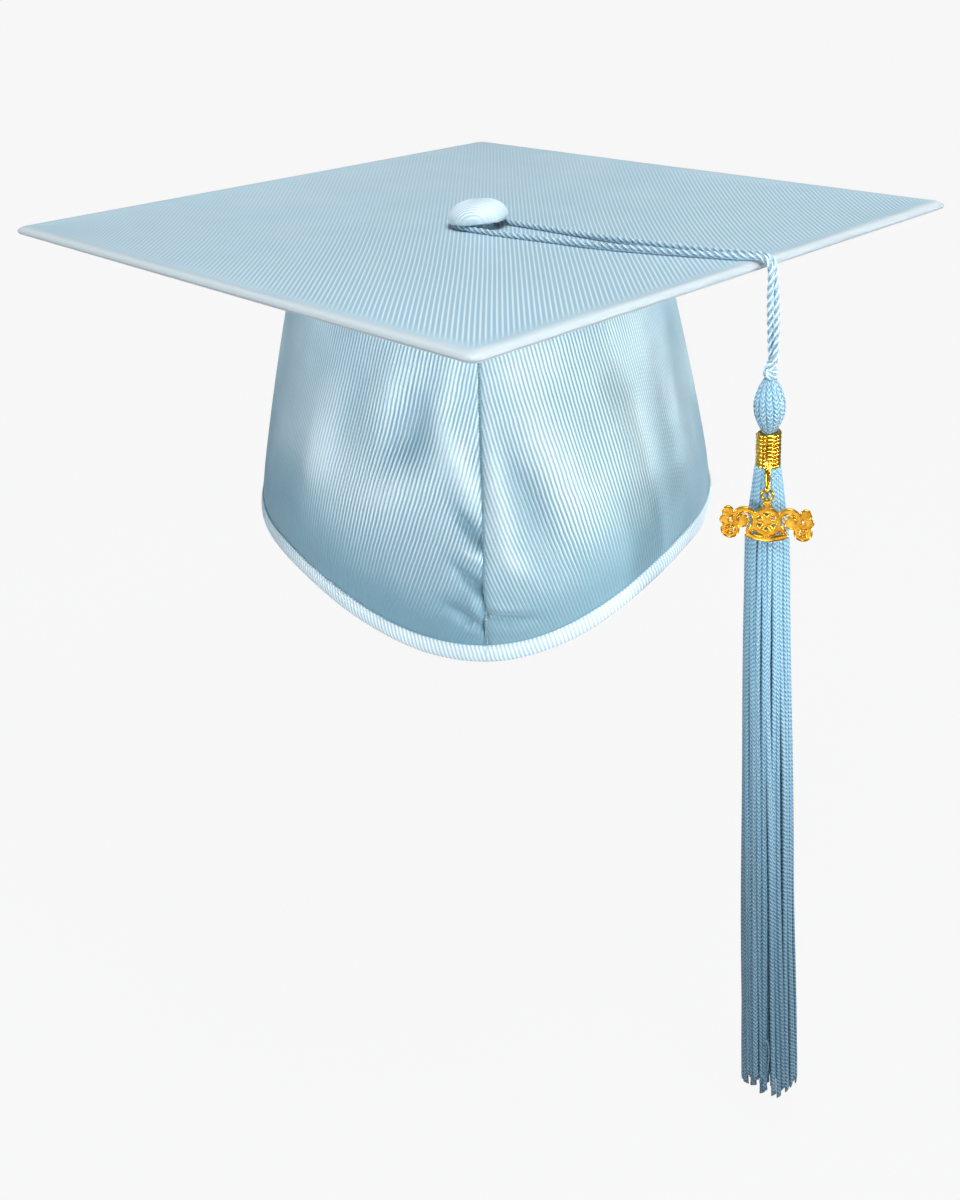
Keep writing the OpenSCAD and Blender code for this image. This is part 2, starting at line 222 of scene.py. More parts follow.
def smooth_path(points, spacing):
    """A curve through given points (Catmull-Rom), with points at an even spacing along it."""
    points = np.asarray(points, float)
    ends = np.concatenate([[2 * points[0] - points[1]], points, [2 * points[-1] - points[-2]]])
    t = np.linspace(0, 1, 24, endpoint=False)[:, None]
    pieces = []
    for a, b, c, d in zip(ends, ends[1:], ends[2:], ends[3:]):
        pieces.append(0.5 * (2 * b + (c - a) * t + (2 * a - 5 * b + 4 * c - d) * t ** 2
                             + (3 * b - a - 3 * c + d) * t ** 3))
    fine = np.concatenate(pieces + [points[-1:]])
    return even_path(fine, spacing)


def even_path(fine, spacing):
    """The same line with its points at an even spacing."""
    length = path_lengths(fine)
    steps = np.linspace(0, length[-1], max(4, int(length[-1] / spacing)) + 1)
    return np.stack([np.interp(steps, length, fine[:, k]) for k in range(3)], 1)


def path_lengths(path):
    """Distance along a path at each of its points."""
    return np.concatenate([[0], np.cumsum(np.linalg.norm(np.diff(path, axis=0), axis=1))])


def tube_coords(path, sides, third):
    """Cloth coordinate of a tube: length in mm, angle round it, and a third number."""
    return together(path_lengths(path)[:, None] / MM, turn_of(sides), third)


def circle_section(radius, sides, count):
    """Round cross-sections, of one radius or of one for each point of a path."""
    radius = np.broadcast_to(np.asarray(radius, float).reshape(-1, 1), (count, sides))
    return together(radius * np.cos(turn_of(sides)), radius * np.sin(turn_of(sides)))


def plied_section(diameter, plies, pitch, lengths, sides):
    """Cross-sections of a cord of twisted plies: round lobes that turn along its length."""
    share = math.sin(math.pi / plies)
    ply = diameter / 2 * share / (1 + share) * 1.08
    out = diameter / 2 - ply
    angle = turn_of(sides)
    spin = (lengths / pitch * TAU)[:, None]
    near = (angle[None] - spin + math.pi / plies) % (TAU / plies) - math.pi / plies
    radius = out * np.cos(near) + np.sqrt(np.clip(ply ** 2 - (out * np.sin(near)) ** 2, 0, None))
    section = together(radius * np.cos(angle), radius * np.sin(angle))
    return section, together(lengths[:, None] / MM, near / (math.pi / plies), angle)


def turn_z(points, angle):
    """Points turned about the upright axis."""
    c, s = math.cos(angle), math.sin(angle)
    x, y, z = np.moveaxis(np.asarray(points, float), -1, 0)
    return together(x * c - y * s, x * s + y * c, z)


DROP = turn_z([DROP_R, 0, 0], CORD_AZIMUTH)


def tassel_place(points):
    """From the tassel's own frame, whose -Y is the way the charm faces, to the row frame."""
    return turn_z(points, CHARM_TURN) + DROP


# ---------- material helpers ----------

class Look:
    """A node material built step by step round one Principled shader."""

    def __init__(self, name, roughness=0.6, metallic=0.0, sheen=0.0, specular=0.5):
        self.material = bpy.data.materials.new(name)
        self.material.use_nodes = True
        self.tree = self.material.node_tree
        self.shader = self.tree.nodes["Principled BSDF"]
        self.shader.inputs["Roughness"].default_value = roughness
        self.shader.inputs["Metallic"].default_value = metallic
        self.shader.inputs["Specular IOR Level"].default_value = specular
        self.shader.inputs["Sheen Weight"].default_value = sheen
        self.shader.inputs["Sheen Roughness"].default_value = 0.45

    def put(self, value, socket):
        """Links a node's output to a socket, or sets a plain number on it."""
        if hasattr(value, "is_output"):
            self.tree.links.new(value, socket)
        else:
            socket.default_value = value

    def math(self, operation, a, b=0.0, c=0.0):
        node = self.tree.nodes.new("ShaderNodeMath")
        node.operation = operation
        for value, socket in zip((a, b, c), node.inputs):
            self.put(value, socket)
        return node.outputs[0]

    def scale(self, value, factor, base):
        return self.math("MULTIPLY_ADD", value, factor, base)

    def vary(self, tone, noise, amount):
        """A tone moved up and down by a noise, whose middle is 0.5."""
        return self.scale(self.math("SUBTRACT", noise, 0.5), amount, tone)

    def layer(self, name):
        """A number or vector stored on the mesh under a name."""
        node = self.tree.nodes.new("ShaderNodeAttribute")
        node.attribute_name = name
        return node

    def weave(self):
        """The cloth coordinate of the mesh: its three parts, and the whole vector."""
        whole = self.layer("weave").outputs["Vector"]
        parts = self.tree.nodes.new("ShaderNodeSeparateXYZ")
        self.tree.links.new(whole, parts.inputs[0])
        return parts.outputs[0], parts.outputs[1], parts.outputs[2], whole

    def place(self):
        return self.tree.nodes.new("ShaderNodeTexCoord").outputs["Object"]

    def noise(self, vector, scale, detail=2.0, stretch=(1, 1, 1)):
        shift = self.tree.nodes.new("ShaderNodeMapping")
        shift.inputs["Scale"].default_value = stretch
        self.tree.links.new(vector, shift.inputs["Vector"])
        node = self.tree.nodes.new("ShaderNodeTexNoise")
        node.inputs["Scale"].default_value = scale
        node.inputs["Detail"].default_value = detail
        self.tree.links.new(shift.outputs[0], node.inputs["Vector"])
        return node.outputs["Fac"]

    def ramp(self, value, stops):
        node = self.tree.nodes.new("ShaderNodeValToRGB")
        while len(node.color_ramp.elements) < len(stops):
            node.color_ramp.elements.new(0.5)
        for element, (at, colour) in zip(node.color_ramp.elements, stops):
            element.position = at
            element.color = (*colour, 1)
        self.tree.links.new(value, node.inputs[0])
        return node.outputs[0]

    def blend(self, factor, a, b):
        node = self.tree.nodes.new("ShaderNodeMix")
        node.data_type = "RGBA"
        self.put(factor, node.inputs["Factor"])
        for value, socket in ((a, node.inputs["A"]), (b, node.inputs["B"])):
            self.put(value if hasattr(value, "is_output") else (*value, 1), socket)
        return node.outputs["Result"]

    def colour(self, value):
        self.put(value, self.shader.inputs["Base Color"])

    def paint(self, value, stops):
        self.colour(self.ramp(value, stops))

    def bump(self, height, depth):
        """Raises the surface by depth, in metres, where height is 1."""
        node = self.tree.nodes.new("ShaderNodeBump")
        node.inputs["Distance"].default_value = depth
        node.inputs["Strength"].default_value = 1.0
        self.put(height, node.inputs["Height"])
        self.tree.links.new(node.outputs[0], self.shader.inputs["Normal"])


def wave(look, value, period, phase=0.0):
    """A sine of value from 0 to 1."""
    angle = look.scale(value, TAU / period, phase)
    return look.scale(look.math("SINE", angle), 0.5, 0.5)


def ribbed_cloth(name, shaded_valley, lit_crest, pitch=1.05, depth=0.00014, wander=0.3, sharp=1.0, cloud=0.4, edge=None,
                 painted_hem_shade=0.0):
    """Satin-faced cloth with ribs, painted darker in their valleys and lighter on their crests as painted
    shade and highlight. The weave coordinate is (across the ribs, along them, rib strength) in mm, and the
    strength also sets how strong the painted rib shade and highlight are.
    A strength from 0 to -1 leads to the smooth cloth beside an edge, and on to -2 on the edge itself; both
    are given greyer colours as a painted highlight of the light glancing off the rounded edge.
    With the hem shade set, the colour darkens towards the hem as painted shade; it is also painted darker
    where the cloth folds inward and lighter where it stands out, as painted shade and highlight from the
    folds' relief."""
    look = Look(name, roughness=0.45, sheen=0.3, specular=0.75)
    across, along, strength, vector = look.weave()
    if wander:
        strayed = look.scale(look.noise(vector, 0.11), 2 * wander, -wander)
        across = look.math("ADD", across, strayed)
    rib = look.math("POWER", wave(look, across, pitch), sharp)
    picks = wave(look, along, 0.5)
    fibre = look.noise(vector, 5.0, detail=3.0, stretch=(1, 0.25, 1))
    patches = look.noise(vector, 0.035, detail=3.0)
    held = look.math("MAXIMUM", strength, 0.0)
    # Painted shade in the rib valleys and painted highlight on the crests, as strong as the rib strength
    tone = look.scale(look.math("SUBTRACT", rib, 0.34), held, 0.34)
    if painted_hem_shade:
        # Painted shade where the folds go inward and painted highlight where they stand out, from their
        # relief
        tone = look.scale(look.layer("relief").outputs["Fac"], 0.15, tone)
        # Painted shade: the colour darkens towards the hem
        near_hem = look.math("SUBTRACT", 1.0, look.math("MINIMUM", look.math("DIVIDE", along, 50.0), 1.0))
        tone = look.scale(look.math("POWER", near_hem, 1.5), -painted_hem_shade, tone)
    tone = look.vary(tone, fibre, 0.3)
    tone = look.scale(look.math("SUBTRACT", patches, 0.5), cloud, tone)
    middle = tuple((a + b) / 2 for a, b in zip(shaded_valley, lit_crest))
    colour = look.ramp(tone, [(0.05, shaded_valley), (0.5, middle), (0.95, lit_crest)])
    # Painted highlight: greyer colours beside and on the board's rounded edge, for the light glancing off it
    if edge:
        for shift, pale in zip((0.0, -1.0), edge):
            colour = look.blend(look.scale(strength, -1.0, shift), colour, pale)
            colour.node.clamp_factor = True
    look.colour(colour)
    look.put(look.scale(fibre, 0.25, 0.31), look.shader.inputs["Roughness"])
    height = look.math("MULTIPLY", rib, held)
    height = look.scale(picks, 0.07, height)
    height = look.scale(fibre, 0.15, height)
    look.bump(height, depth)
    return look.material


def yarn(name, shaded_groove, lit_crest, depth=0.00007):
    """Twisted ply cord, painted lighter along each ply's crest and darker in the grooves between plies as
    painted highlight and shade. The weave coordinate is (length in mm, place across a ply from -1 to 1,
    angle).
    """
    look = Look(name, roughness=0.42, sheen=0.3, specular=0.5)
    length, across = look.weave()[:2]
    roundness = look.math("SUBTRACT", 1.0, look.math("POWER", look.math("ABSOLUTE", across), 1.1))
    lines = wave(look, look.scale(length, 0.35, across), 0.34)
    fibre = look.noise(look.place(), 2600.0, detail=2.0)
    # Painted highlight along the ply crests and painted shade in the grooves between them
    tone = look.scale(lines, 0.16, look.math("MULTIPLY", roundness, 0.72))
    tone = look.vary(tone, fibre, 0.3)
    look.paint(tone, [(0.08, shaded_groove), (0.42, (0.20, 0.40, 0.55)), (0.75, lit_crest)])
    look.bump(look.scale(fibre, 0.5, lines), depth)
    return look.material


def chainette(name, shaded_groove, lit_crest, pitch=1.5, depth=0.00018):
    """Knitted rayon strand, painted lighter on its loops and darker along its edges and middle line as
    painted highlight and shade. The weave coordinate is (length in mm, place across from -1 to 1, its
    number).
    """
    look = Look(name, roughness=0.4, sheen=0.3, specular=0.5)
    length, across, own = look.weave()[:3]
    side = look.math("ABSOLUTE", across)
    shift = look.scale(side, 0.75 * pitch, look.math("MULTIPLY", own, 0.37 * pitch))
    loops = wave(look, look.math("ADD", length, shift), pitch)
    fibre = look.noise(look.place(), 2400.0, detail=2.0)
    edge = look.math("POWER", side, 3.0)
    middle_line = look.math("POWER", look.math("SUBTRACT", 1.0, side), 6.0)
    # Painted highlight on the loops, painted shade along the edges and the middle line
    tone = look.scale(edge, -0.45, look.scale(loops, 0.62, 0.28))
    tone = look.scale(middle_line, -0.16, tone)
    tone = look.vary(tone, fibre, 0.35)
    own_tone = look.math("FRACT", look.math("MULTIPLY", own, 0.618))
    tone = look.vary(tone, own_tone, 0.14)
    middle = tuple(a * 0.45 + b * 0.55 for a, b in zip(shaded_groove, lit_crest))
    look.paint(tone, [(0.1, shaded_groove), (0.5, middle), (0.9, lit_crest)])
    height = look.scale(middle_line, -0.5, loops)
    look.bump(look.scale(fibre, 0.3, height), depth)
    return look.material


def gold(name, roughness, grain=0.0):
    """Plated gold, polished or with a raised glittering grain."""
    look = Look(name, roughness=roughness, metallic=1.0)
    place = look.place()
    broad = look.noise(place, 500.0, detail=2.0)
    fine = look.noise(place, 8000.0, detail=2.0)
    tone = look.vary(broad, fine, 2.2 * grain)
    deep = (0.48, 0.20, 0.015) if grain else (0.50, 0.25, 0.02)
    look.paint(tone, [(0.15, deep), (0.5, (0.88, 0.48, 0.045)), (0.85, (0.98, 0.62, 0.11))])
    look.put(look.scale(broad, 0.08, roughness - 0.04), look.shader.inputs["Roughness"])
    if grain:
        look.bump(fine, 0.00022 * grain)
    return look.material


def brushed_steel():
    """Zinc-plated steel with fine lines along one way."""
    look = Look("zinc_plated_steel", roughness=0.35, metallic=1.0)
    lines = look.noise(look.place(), 1500.0, detail=3.0, stretch=(1, 0.08, 1))
    look.paint(lines, [(0.2, (0.48, 0.50, 0.52)), (0.8, (0.70, 0.71, 0.72))])
    look.put(look.scale(lines, 0.3, 0.2), look.shader.inputs["Roughness"])
    look.bump(lines, 0.00002)
    return look.material


def greyboard():
    """Grey-brown pulp board with flecks."""
    look = Look("greyboard", roughness=0.9)
    place = look.place()
    flecks = look.noise(place, 900.0, detail=6.0)
    look.paint(flecks, [(0.3, (0.36, 0.31, 0.24)), (0.6, (0.52, 0.46, 0.37)),
                        (0.8, (0.62, 0.57, 0.48))])
    look.bump(flecks, 0.00008)
    return look.material


def thread():
    """Twisted sewing thread, painted lighter on its twist ridges and darker between them as painted highlight
    and shade.
    """
    look = Look("sewing_thread", roughness=0.5, sheen=0.2)
    length, across = look.weave()[:2]
    twist = wave(look, look.scale(across, 0.25, length), 0.45)
    look.paint(twist, [(0.1, (0.38, 0.56, 0.66)), (0.8, (0.66, 0.81, 0.88))])
    look.bump(twist, 0.00004)
    return look.material


def elastic_webbing():
    """Pale elastic with cords along it and gathers across, painted lighter on the cords and darker between
    them as painted highlight and shade.
    """
    look = Look("elastic_webbing", roughness=0.75, sheen=0.2)
    along, over = look.weave()[:2]
    cords = wave(look, over, 1.1)
    gathers = wave(look, along, 0.9)
    look.paint(cords, [(0.1, (0.55, 0.57, 0.58)), (0.8, (0.86, 0.87, 0.87))])
    look.bump(look.scale(gathers, 0.5, cords), 0.0002)
    return look.material


# ---------- shape of the cap ----------

def sag(x, y):
    """How far the board is drawn down at a point in plan."""
    u = (x + y) / math.sqrt(2) / BOARD_HALF
    v = (y - x) / math.sqrt(2) / BOARD_HALF
    return BOARD_SAG * np.clip(1 - u * u, 0, None) * np.clip(1 - v * v, 0, None)


def edge_distance(x, y):
    """Distance in from the board's outline, a square with round corners that stands on one corner."""
    u = np.abs(x + y) / math.sqrt(2) - (BOARD_HALF - BOARD_CORNER)
    v = np.abs(y - x) / math.sqrt(2) - (BOARD_HALF - BOARD_CORNER)
    outer = np.hypot(np.clip(u, 0, None), np.clip(v, 0, None))
    return BOARD_CORNER - outer - np.minimum(np.maximum(u, v), 0)


def hem_height(a):
    """Height of the hem round the cap: it dips at the forehead and a little at the nape."""
    f = np.where(a > math.pi, TAU - a, a)
    b = math.pi - f
    front = np.where(f < math.pi / 3, -FRONT_DIP * (1 + np.cos(3 * f)) / 2, 0)
    back = np.where(b < math.pi / 3, -BACK_DIP * (1 + np.cos(3 * b)) / 2, 0)
    return front + back


def crown_half(s):
    """Half width of the skull cap, from its top (s = 0) to its hem (s = 1)."""
    return CROWN_TOP + (HEM_HALF - CROWN_TOP + CROWN_TUCK) * s - CROWN_TUCK * s ** 10


def crown_top(a):
    """Height at which the cloth meets the sagging board."""
    x, y = CROWN_TOP * np.sin(a), -CROWN_TOP * HEAD_RATIO * np.cos(a)
    return BOARD_UNDER - sag(x, y) - 0.00095


def crown_point(a, s, out):
    """A point on the skull cap, moved out from its outer face, with a slight belly in front and behind."""
    h = crown_half(s)
    out = out + BELLY * np.cos(a) ** 2 * np.sin(math.pi * np.clip(s / 0.93, 0, 1) ** 1.5)
    top = crown_top(a)
    return together((h + out) * np.sin(a), -(h * HEAD_RATIO + out) * np.cos(a),
                    top + (hem_height(a) - top) * s)


def share_at(a, over):
    """The share of the way down at which the cap is at a height over its hem."""
    return 1 - over / (crown_top(a) - hem_height(a))


def girth(a, half=0.080):
    """Length round the cap from the forehead to an angle."""
    fine = np.linspace(0, TAU, 1441)
    step = np.hypot(half * np.cos(fine), half * HEAD_RATIO * np.sin(fine))
    total = np.concatenate([[0], np.cumsum((step[1:] + step[:-1]) / 2 * (fine[1] - fine[0]))])
    return np.interp(a, fine, total)


WHOLE_GIRTH = float(girth(TAU))
HALF_GIRTH_MM = float(girth(math.pi)) / MM


def even_angles(steps):
    """Angles round the cap for a share of its girth."""
    fine = np.linspace(0, TAU, 4001)
    return np.interp(steps * WHOLE_GIRTH, girth(fine), fine)


# ---------- camera, lights and floor ----------

def make_camera():
    """A camera in front of the cap, a little above its board and tipped down by 15 degrees."""
    yaw, pitch, roll = 0.0157, 0.2697, 0.0309
    turn = Matrix.Rotation(yaw, 3, "Z") @ Matrix.Rotation(-pitch, 3, "X") @ Matrix.Rotation(roll, 3, "Y")
    right, forward, up = (turn.col[k] for k in range(3))
    place = Matrix((right, up, -forward)).transposed().to_4x4()
    place.translation = (0.00752, -0.50033, 0.21171)
    camera = bpy.data.objects.new("camera", bpy.data.cameras.new("camera"))
    camera.data.lens = 41.98
    camera.data.sensor_width = 36
    camera.data.shift_y = -0.25
    camera.data.clip_start = 0.01
    camera.matrix_world = place
    bpy.context.scene.collection.objects.link(camera)
    bpy.context.scene.camera = camera


def soft_light(name, place, target, size, power, spread=180):
    """A round lamp that the camera doesn't see."""
    lamp = bpy.data.lights.new(name, "AREA")
    lamp.shape = "DISK"
    lamp.size = size
    lamp.energy = power
    lamp.spread = math.radians(spread)
    lamp_object = bpy.data.objects.new(name, lamp)
    lamp_object.location = place
    lamp_object.rotation_euler = (Vector(target) - Vector(place)).to_track_quat("-Z", "Y").to_euler()
    lamp_object.visible_camera = False
    bpy.context.scene.collection.objects.link(lamp_object)


# The lamps round the cap aim over it, so that their light fades down the cap and the tassel
OVER_BOARD = (0, 0, 0.33)
FLOOR_GAP = 0.012
FLOOR_HALF = 40


def make_studio():
    for name, place, power, spread in (("key_light_front", (0.66, -1.24, 0.31), 0.56, 11),
                                       ("key_light_middle", (1.04, -0.94, 0.31), 0.56, 11),
                                       ("key_light_side", (1.36, -0.3, 0.31), 1.0, 12),
                                       ("fill_light", (-0.95, -1.03, 0.31), 0.65, 11),
                                       ("left_light", (-1.36, -0.3, 0.31), 0.45, 12)):
        soft_light(name, place, OVER_BOARD, 0.8, power, spread)
    soft_light("back_light", (0.1, 1.4, -0.25), (0, 0, -0.06), 0.6, 0.35, 20)
    soft_light("top_light", (0.15, -0.45, 1.0), (0, 0, 0.1), 0.6, 11.3)
    world = bpy.data.worlds.new("studio")
    bpy.context.scene.world = world
    world.use_nodes = True
    # Dim as a light, pale where it is seen behind the cap
    nodes_of, links = world.node_tree.nodes, world.node_tree.links
    sky = nodes_of["Background"]
    sky.inputs["Color"].default_value = (0.90, 0.95, 1.0, 1)
    sky.inputs["Strength"].default_value = 0.25
    backdrop = nodes_of.new("ShaderNodeBackground")
    backdrop.inputs["Color"].default_value = (0.93, 0.93, 0.93, 1)
    seen, light_path = nodes_of.new("ShaderNodeMixShader"), nodes_of.new("ShaderNodeLightPath")
    links.new(light_path.outputs["Is Camera Ray"], seen.inputs[0])
    links.new(sky.outputs[0], seen.inputs[1])
    links.new(backdrop.outputs[0], seen.inputs[2])
    links.new(seen.outputs[0], nodes_of["World Output"].inputs[0])
    bpy.context.scene.view_settings.view_transform = "Standard"
    make_floor()


def make_floor():
    """A plain floor under the hanging tassel, of one pale tone to the camera and clear from below."""
    look = Look("pale_floor", roughness=0.9)
    look.shader.inputs["Base Color"].default_value = (0.45, 0.47, 0.5, 1)
    tree = look.tree
    glow = tree.nodes.new("ShaderNodeEmission")
    glow.inputs["Color"].default_value = (0.962, 0.962, 0.962, 1)
    clear = tree.nodes.new("ShaderNodeBsdfTransparent")
    light_path = tree.nodes.new("ShaderNodeLightPath")
    side = tree.nodes.new("ShaderNodeNewGeometry")
    seen, sided = tree.nodes.new("ShaderNodeMixShader"), tree.nodes.new("ShaderNodeMixShader")
    factor = look.math("MULTIPLY", light_path.outputs["Is Camera Ray"], 0.96)
    tree.links.new(factor, seen.inputs[0])
    tree.links.new(look.shader.outputs[0], seen.inputs[1])
    tree.links.new(glow.outputs[0], seen.inputs[2])
    tree.links.new(side.outputs["Backfacing"], sided.inputs[0])
    tree.links.new(seen.outputs[0], sided.inputs[1])
    tree.links.new(clear.outputs[0], sided.inputs[2])
    tree.links.new(sided.outputs[0], tree.nodes["Material Output"].inputs[0])
    far = np.array([[-1, -1], [1, -1], [1, 1], [-1, 1]]) * FLOOR_HALF
    corners = together(far[:, 0], far[:, 1], cad_box[0].z - FLOOR_GAP)
    floor = Shape().add(corners, [[0, 1, 2, 3]], np.zeros(3))
    floor.build("floor", look.material)


# ---------- cord ----------

def cord_line():
    """The cord's centreline: up from the knot, over the edge, round the button's collar and back down."""
    def strand(side):
        route = [(r, side * w, BOARD_TOP + z) for r, w, z in CORD_COURSE[::-1]]
        return [turn_z(p, CORD_AZIMUTH) for p in route]

    def drop(side):
        """Side by side below the edge, then wound round each other down to the knot."""
        points = []
        for k in range(15):
            z = SWING_Z - k * DROP_STEP
            wind = side * math.pi / 2 - math.radians(47 * min(1, k / 4) + 72 * max(0, k - 4) / 10)
            aside = np.array([DROP_ASIDE, 0, 0]) * math.sin(math.pi * min(1, k / 11) / 2)
            across = [STRAND_GAP * math.cos(wind), STRAND_GAP * math.sin(wind), z]
            points.append(DROP + aside + turn_z(across, CORD_AZIMUTH))
        return points[::-1]

    turns = np.radians(np.arange(80, 281, 20))
    loop = turn_z(together(LOOP_R * np.cos(turns), LOOP_R * np.sin(turns), LOOP_Z), CORD_AZIMUTH)
    return smooth_path(drop(1) + strand(1) + list(loop) + strand(-1)[::-1] + drop(-1)[::-1], 0.0005)


def make_cord(material):
    path = cord_line()
    section, coords = plied_section(CORD_D, 3, 0.0087, path_lengths(path), 24)
    shape = Shape().add_tube(path, section, coords)
    cord = shape.build("tassel_cord", material, None, ["cord_loop", "cord_drop"], "cord")
    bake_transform(cord)
    return cord, path


def make_knot(material):
    """An overhand knot: two slanting wraps of the cord round its own core."""
    shape = Shape()
    t = np.linspace(0, 1, 90)
    for start, tilt in ((0.0, 0.35), (2.4, -0.5)):
        angle = start + t * TAU * 1.15
        radius = 0.00155 * np.sin(math.pi * np.clip(t * 1.06 - 0.03, 0.02, 0.98)) ** 0.3
        height = 0.0011 - 0.0030 * t + tilt * radius * np.sin(angle - start)
        path = together(radius * np.cos(angle), radius * np.sin(angle), KNOT_Z + height)
        path = even_path(tassel_place(path), 0.0004)
        section, coords = plied_section(0.0021, 3, 0.006, path_lengths(path), 18)
        shape.add_tube(path, section, coords)
    core = tassel_place(together(0, 0, np.linspace(KNOT_Z + 0.003, HEAD_TOP - 0.0008, 14)))
    section, coords = plied_section(0.0030, 3, 0.006, path_lengths(core), 18)
    shape.add_tube(core, section, coords)
    return shape.build("cord_knot", material, "knot", ["tassel_knot"], "cord")


# ---------- board ----------

def board_outline(x):
    """Half depth of the board, along Y, at a place across it."""
    middle = (BOARD_HALF - BOARD_CORNER) * math.sqrt(2)
    near = np.abs(x)
    straight = BOARD_HALF * math.sqrt(2) - near
    at_front = middle + np.sqrt(np.clip(BOARD_CORNER ** 2 - near ** 2, 0, None))
    at_side = np.sqrt(np.clip(BOARD_CORNER ** 2 - (near - middle) ** 2, 0, None))
    corner = BOARD_CORNER / math.sqrt(2)
    return np.where(near < corner, at_front, np.where(near > middle + corner, at_side, straight))


RIB_PITCH = 1.5
EDGE_ROUND = 0.0034


def make_board_cover(name, way, material, node, columns, slot):
    """Cloth over one face of the board, rounded over the edge: way is 1 above and -1 below."""
    tip = ((BOARD_HALF - BOARD_CORNER) * math.sqrt(2) + BOARD_CORNER) * 0.99995
    x = np.linspace(-tip, tip, columns)
    depth = board_outline(x)
    insets = MM * np.array([0, 0.06, 0.2, 0.42, 0.75, 1.15, 1.65, 2.3, 3.1,
                            4.1, 5.4, 7.5, 11, 17, 26, 38, 52, 68])
    share = np.linspace(0, 1, len(insets) + 1)[:-1]
    down = np.minimum(insets[:, None] * math.sqrt(2), share[:, None] * depth[None])
    rows = np.concatenate([-(depth - down), np.zeros((1, columns)), (depth - down)[::-1]])
    across = np.broadcast_to(x, rows.shape)
    inward = np.clip(edge_distance(across, rows), 0, None)
    lean = np.clip(1 - inward / EDGE_ROUND, 0, 1)
    height = BOARD_T / 2 * np.sqrt(np.clip(1 - lean ** 2.2, 0, 1))
    plain = np.clip((inward - 0.0024) / 0.0022, 0, 1)
    # Rib strength, which also sets the painted rib shade and highlight: none near the edge, stronger towards
    # the front and right where the light falls on the ribs, weaker towards the back
    ribs = np.clip((inward - 0.0036) / 0.009, 0, 1) * np.clip(0.75 + across / 0.34 - rows / 0.22, 0.35, 1.25)
    phase = across / MM + 0.12 * np.sin(rows / 0.031 + across / 0.05)
    puff = 0.00022 * np.exp(-((inward - 0.0045) / 0.0025) ** 2)
    ripple = np.sin(across / 0.013 + 2 * np.sin(rows / 0.03)) * np.sin(rows / 0.017 + across / 0.04)
    if way > 0:
        height = height + ribs * 0.00010 * (np.sin(phase * TAU / RIB_PITCH) / 2 + 0.5) ** 2 + puff
    height = height + 0.00014 * ripple * plain
    z = (BOARD_TOP + BOARD_UNDER) / 2 - sag(across, rows) * np.clip(inward / 0.004, 0, 1) + way * height
    # Where the painted edge highlight goes: the smooth cloth beside the edge, and more on the edge itself
    pale = 1 - plain + np.clip(1 - inward / 0.0011, 0, 1)
    coords = together(phase, rows / MM, np.where(plain < 1, -pale, ribs))
    faces = grid_faces(*rows.shape)
    shape = Shape().add(together(across, rows, z), faces if way < 0 else flipped(faces), coords)
    cover = shape.build(name, material, "cap", [node], slot)


# ---------- button ----------

BUTTON_R = 0.0111
BUTTON_Z = 0.10385
BUTTON_DOME = 0.0068
BUTTON_TILT = math.radians(5.5)


def make_button(material, collar_material):
    """The cloth-covered dome, tilted a little where the cord lies under it."""
    quarter = np.linspace(0, math.pi / 2, 46)
    r = np.concatenate([[0.0002], BUTTON_R * np.sin(quarter[1:]) ** 0.92,
                        BUTTON_R - MM * np.array([0.08, 0.3, 0.6, 0.75]), [0.0094, 0.006, 0.0018]])
    z = np.concatenate([[1], np.cos(quarter[1:]) ** 0.95, [0, 0, 0, 0], [0, 0, 0]]) * BUTTON_DOME
    z += MM * np.concatenate([np.full(46, 0.45), [0.15, -0.05, 0.05, 0.5], [0.95, 1.0, 1.0]])
    angle = turn_of(240)
    x = r[:, None] * np.cos(angle)
    y = r[:, None] * np.sin(angle)
    z = np.broadcast_to(z[:, None], x.shape)
    over = (np.arange(len(r)) < 46)[:, None] * np.clip((BUTTON_R - np.hypot(x, y)) / 0.001, 0, 1)
    rib = (y * math.cos(0.2) + x * math.sin(0.2)) / MM + 1.1 * (x / BUTTON_R) ** 2
    z = z + over * 0.00005 * np.sin(rib * TAU / 0.9)
    pleat = (np.arange(len(r)) >= 40)[:, None] * 0.00007 * np.sin(17 * angle + 2 * np.sin(3 * angle))
    x, y = x * (1 + pleat / BUTTON_R), y * (1 + pleat / BUTTON_R)
    tilt_z = z + 0.0004
    c, s = math.cos(BUTTON_TILT), math.sin(BUTTON_TILT)
    points = together(x * c - tilt_z * s, y, x * s + tilt_z * c + BUTTON_Z)
    shape = Shape().add(points, flipped(tube_faces(*x.shape)), together(rib, x / MM, over * 0.8 + 0.1))
    shape.build("button_cloth", material, "cap", ["button_cover"], "cloth_light")
    make_collar(collar_material)


def make_collar(material):
    """The cloth gathered under the button, in soft pleats."""
    t = np.linspace(0, 1, 14)[:, None]
    angle = turn_of(120)
    radius = 0.0060 - 0.0008 * np.sin(math.pi * t) + 0.00028 * np.sin(13 * angle + 0.8 * np.sin(2 * angle))
    z = CENTRE_Z + 0.0001 + 0.0031 * t
    points = together(radius * np.cos(angle), radius * np.sin(angle), z)
    coords = together(angle * 6.0, z / MM, 0.5)
    shape = Shape().add(points, tube_faces(len(t), len(angle), ends=False), coords)
    shape.build("button_collar_cloth", material, "cap", ["button_collar"], "cloth_light")


# ---------- skull cap ----------

SEAM_GAP = 0.0035
HEM_LAP = 0.0004
LINING_LOW = 0.0262
